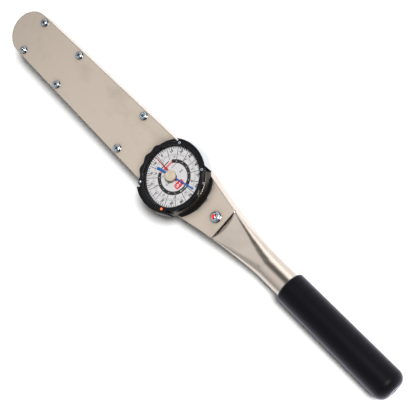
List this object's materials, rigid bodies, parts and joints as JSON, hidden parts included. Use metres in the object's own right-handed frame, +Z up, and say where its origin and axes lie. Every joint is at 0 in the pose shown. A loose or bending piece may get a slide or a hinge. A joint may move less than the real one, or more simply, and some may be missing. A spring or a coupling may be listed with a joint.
{
  "type": "dial torque wrench",
  "caption": "Dial torque wrench with square drive under a flat-covered head, scalloped dial bezel, memory pointer with reset knob and black rubber grip.",
  "frame": {"origin": "on the drive axis, in the shoulder plane where a socket seats on the square", "axes": "+X along the handle towards the grip, +Z up through the dial face, +Y completes a right-handed frame"},
  "size_m": [0.5245, 0.073, 0.0566],
  "materials": {
    "satin_nickel": "satin nickel plate over steel, fine grain",
    "cover_nickel": "satin nickel plate, fine lengthwise grain",
    "zinc_screw": "bright zinc plated steel",
    "tamper_red": "red tamper varnish",
    "seal_orange": "orange tamper varnish",
    "grip_rubber": "black satin rubber",
    "bronze": "sintered bronze",
    "tool_steel": "ground hardened steel",
    "chrome": "polished chrome plate",
    "anvil_chrome": "satin chrome on forged steel",
    "spring_steel": "blued spring steel",
    "arm_alloy": "rolled alloy sheet",
    "movement_brass": "polished brass",
    "black_gasket": "black rubber",
    "black_bezel": "moulded black plastic",
    "carrier_black": "matt black plastic",
    "dial_white": "white enamel with printed scale",
    "clear_lens": "clear polished lens",
    "pointer_red": "red paint on thin alloy",
    "pointer_blue": "blue paint on thin alloy",
    "stem_dark": "blackened steel",
    "knob_metal": "warm anodised alloy"
  },
  "bodies": {
    "housing_body": {"housing": "satin_nickel", "cover_plate": "cover_nickel", "cover_screws": "zinc_screw", "neck_screw": "zinc_screw", "neck_seal": "tamper_red", "grip": "grip_rubber", "lower_head_bushing": "bronze", "upper_head_bushing": "bronze", "thrust_washer": "bronze", "stop_pins": "tool_steel", "beam_anchor_block": "tool_steel", "beam_pin": "tool_steel", "anchor_bolts": "zinc_screw", "movement_lower_plate": "movement_brass", "movement_upper_plate": "movement_brass", "movement_pillars": "movement_brass", "movement_screws": "zinc_screw", "arbor_bushings": "bronze", "dial_drum": "chrome", "drum_gasket": "black_gasket", "drum_screws": "zinc_screw"},
    "drive_head": {"drive_anvil": "anvil_chrome", "indicator_arm": "arm_alloy", "arm_clamp_ring": "tool_steel", "arm_screws": "zinc_screw", "sector_gear": "movement_brass", "sector_rivets": "tool_steel", "detent_spring": "spring_steel"},
    "detent": {"detent_ball": "chrome"},
    "beam": {"flex_beam": "spring_steel"},
    "pointer": {"pointer_arbor": "tool_steel", "pointer_pinion": "movement_brass", "pointer_hub": "movement_brass", "main_pointer": "pointer_red"},
    "bezel": {"bezel_ring": "black_bezel", "bezel_bands": "chrome", "bezel_screws": "zinc_screw", "sealed_bezel_screw": "zinc_screw", "bezel_seal": "seal_orange", "dial_carrier": "carrier_black", "carrier_screws": "zinc_screw", "dial_face": "dial_white", "lens_gasket": "black_gasket", "lens": "clear_lens"},
    "memory": {"memory_pointer": "pointer_blue", "memory_stem": "stem_dark", "friction_washer": "black_gasket", "reset_knob": "knob_metal"}
  },
  "joints": [
    {"name": "head_deflection", "type": "hinge", "parent": "housing_body", "child": "drive_head", "pos_m": [0, 0, 0], "axis": [0, 0, 1], "range_deg": [-2.65, 2.65], "stiffness_Nm_per_rad": 60},
    {"name": "beam_flex", "type": "hinge", "parent": "housing_body", "child": "beam", "pos_m": [0.276, 0, 0], "axis": [0, 0, 1], "range_deg": [-0.22, 0.22]},
    {"name": "pointer_turn", "type": "hinge", "parent": "housing_body", "child": "pointer", "pos_m": [0.234, 0, 0], "axis": [0, 0, 1], "range_deg": [-342, 342]},
    {"name": "bezel_turn", "type": "hinge", "parent": "housing_body", "child": "bezel", "pos_m": [0.234, 0, 0], "axis": [0, 0, 1], "range_deg": [-25, 25]},
    {"name": "memory_turn", "type": "hinge", "parent": "bezel", "child": "memory", "pos_m": [0.234, 0, 0], "axis": [0, 0, 1], "continuous": true},
    {"name": "detent_press", "type": "slide", "parent": "drive_head", "child": "detent", "axis": [0, -1, 0], "range_m": [0, 0.0008], "stiffness_N_per_m": 1500, "springref_m": -0.001, "deforming": ["detent_spring"]}
  ],
  "couplings": [
    {"joint": "pointer_turn", "follows": "head_deflection", "ratio": -129},
    {"joint": "beam_flex", "follows": "head_deflection", "ratio": -0.08235}
  ]
}
